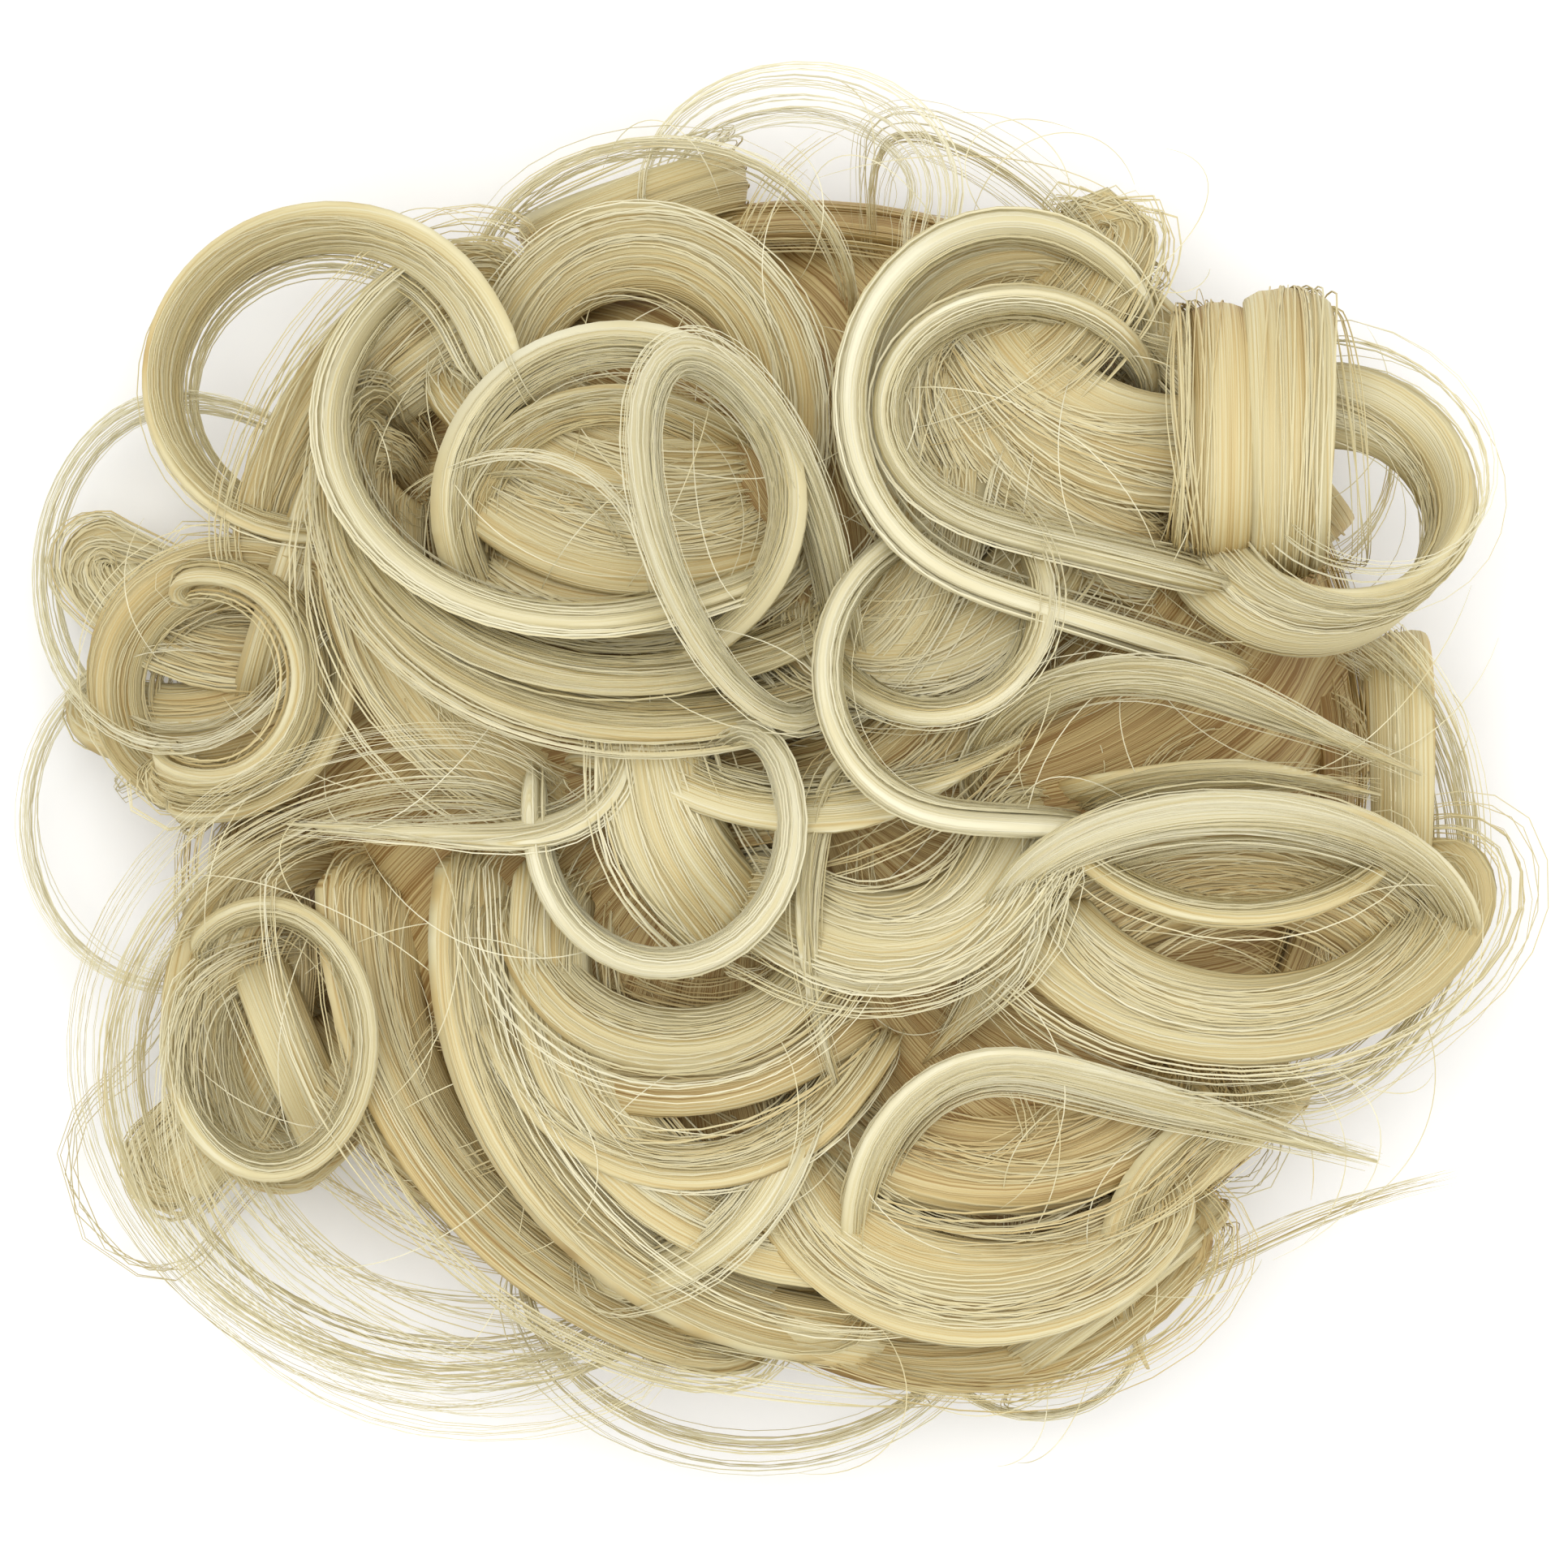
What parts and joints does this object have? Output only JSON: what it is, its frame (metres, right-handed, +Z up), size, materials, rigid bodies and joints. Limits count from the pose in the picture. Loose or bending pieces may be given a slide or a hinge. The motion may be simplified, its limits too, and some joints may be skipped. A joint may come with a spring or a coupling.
{
  "type": "curly top knot hairpiece",
  "caption": "Curly top knot hairpiece: a domed bun of curled locks fused to packed hair over an elastic band, hollow below for the wearer's own bun.",
  "frame": {"origin": "on the table, under the middle of the box of the whole piece", "axes": "+Z up out of the top of the bun, +Y the upper side of the picture, +X its right side"},
  "size_m": [0.1732, 0.1636, 0.0611],
  "materials": {
    "band_fabric": "knitted sleeve over a round elastic core, matte",
    "hair_fibre": "pale blonde heat-set synthetic fibre, satin sheen along the strands"
  },
  "bodies": {
    "root": {"elastic_band": "band_fabric", "hair_locks": "hair_fibre"}
  },
  "joints": []
}
